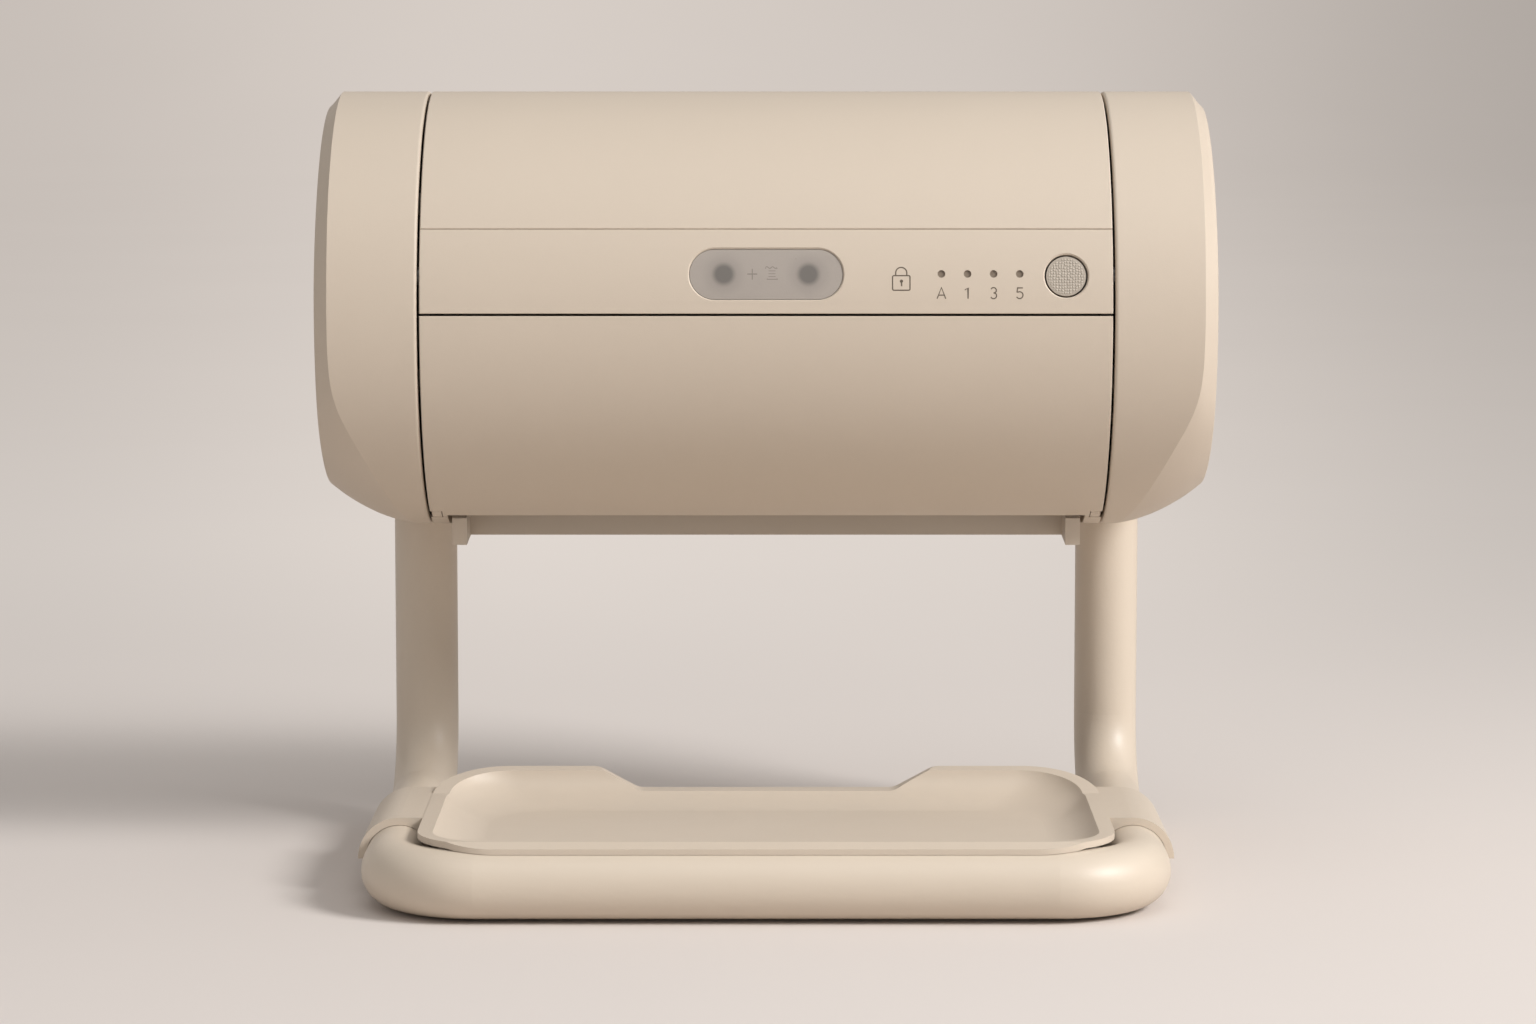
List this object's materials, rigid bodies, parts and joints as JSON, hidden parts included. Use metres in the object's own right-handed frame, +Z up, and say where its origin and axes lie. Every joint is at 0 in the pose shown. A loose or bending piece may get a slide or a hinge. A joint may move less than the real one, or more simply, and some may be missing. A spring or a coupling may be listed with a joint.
{
  "type": "wipes dispenser",
  "caption": "Horizontal drum wipes dispenser with lid, front door, sensor panel and bottom outlet, on a bent tube stand with a lift-off catch tray.",
  "frame": {"origin": "on the floor under the middle of the bounding box", "axes": "+X to the right along the drum, +Y to the back, +Z up"},
  "size_m": [0.2826, 0.2038, 0.2486],
  "materials": {
    "shell": "satin moulded",
    "window": "translucent warm grey",
    "button": "fine grained",
    "inner_plastic": "moulded",
    "clear_plastic": "frosted clear",
    "steel": "turned",
    "magnet": "nickel plated",
    "rubber": "matt",
    "seal": "soft",
    "bearing": "smooth",
    "gear": "smooth",
    "stand": "satin powder coat",
    "board": "solder mask",
    "chip": "moulded",
    "lens": "smooth",
    "cell": "shrink sleeve"
  },
  "bodies": {
    "frame": {"rear_shell": "shell", "control_panel": "shell", "left_end_cap": "shell", "right_end_cap": "shell", "outlet_guide": "shell", "left_post_socket": "shell", "right_post_socket": "shell", "stand_tube": "stand", "tube_inserts": "steel", "stand_bolts": "steel", "foot_pads": "rubber", "left_bulkhead": "inner_plastic", "right_bulkhead": "inner_plastic", "pack_cradle": "inner_plastic", "board_cover": "inner_plastic", "battery_holder": "inner_plastic", "lid_hinge_pins": "steel", "catch_magnets": "magnet", "rim_seals": "seal", "drive_bushes": "bearing", "pinch_bushes": "bearing", "gearmotor": "steel", "motor_screws": "steel", "shell_screws": "steel", "cap_screws": "steel", "guide_screws": "steel", "board_screws": "steel", "sensor_window": "window", "light_pipe": "clear_plastic", "tact_switch": "chip", "control_board": "board", "proximity_sensors": "lens", "mode_leds": "clear_plastic", "board_chips": "chip", "battery_cells": "cell", "charge_board": "board", "charge_port": "steel"},
    "lid": {"top_lid": "shell", "lid_magnets": "magnet"},
    "door": {"front_door": "shell", "door_magnets": "magnet", "door_pins": "steel"},
    "button": {"mode_button": "button", "switch_plunger": "clear_plastic"},
    "drive": {"drive_shaft": "steel", "drive_roller": "inner_plastic", "feed_sleeves": "rubber", "drive_gear": "gear", "drive_clips": "steel"},
    "pinch": {"pinch_shaft": "steel", "pinch_roller": "inner_plastic", "pinch_clips": "steel"},
    "rotor": {"motor_shaft": "steel", "motor_pinion": "gear"},
    "tray": {"catch_tray": "shell"}
  },
  "joints": [
    {"name": "lid_hinge", "type": "hinge", "parent": "frame", "child": "lid", "pos_m": [0, 0.0942, 0.21159], "axis": [-1, 0, 0], "range_deg": [0, 95]},
    {"name": "door_hinge", "type": "hinge", "parent": "frame", "child": "door", "pos_m": [0, 0.00565, 0.11566], "axis": [1, 0, 0], "range_deg": [0, 95]},
    {"name": "button_press", "type": "slide", "parent": "frame", "child": "button", "axis": [0, 0.9722, -0.234], "range_m": [0, 0.0008], "stiffness_N_per_m": 1500},
    {"name": "drive_roller_spin", "type": "hinge", "parent": "frame", "child": "drive", "pos_m": [0, 0.0328, 0.1363], "axis": [1, 0, 0], "continuous": true},
    {"name": "pinch_roller_spin", "type": "hinge", "parent": "frame", "child": "pinch", "pos_m": [0, 0.0114, 0.1363], "axis": [1, 0, 0], "continuous": true},
    {"name": "motor_spin", "type": "hinge", "parent": "frame", "child": "rotor", "pos_m": [0, 0.0616, 0.1363], "axis": [1, 0, 0], "continuous": true},
    {"name": "tray_lift", "type": "slide", "parent": "frame", "child": "tray", "axis": [0, 0, 1], "range_m": [0, 0.03]}
  ],
  "couplings": [
    {"joint": "pinch_roller_spin", "follows": "drive_roller_spin", "ratio": -1.3333},
    {"joint": "motor_spin", "follows": "drive_roller_spin", "ratio": -3}
  ]
}
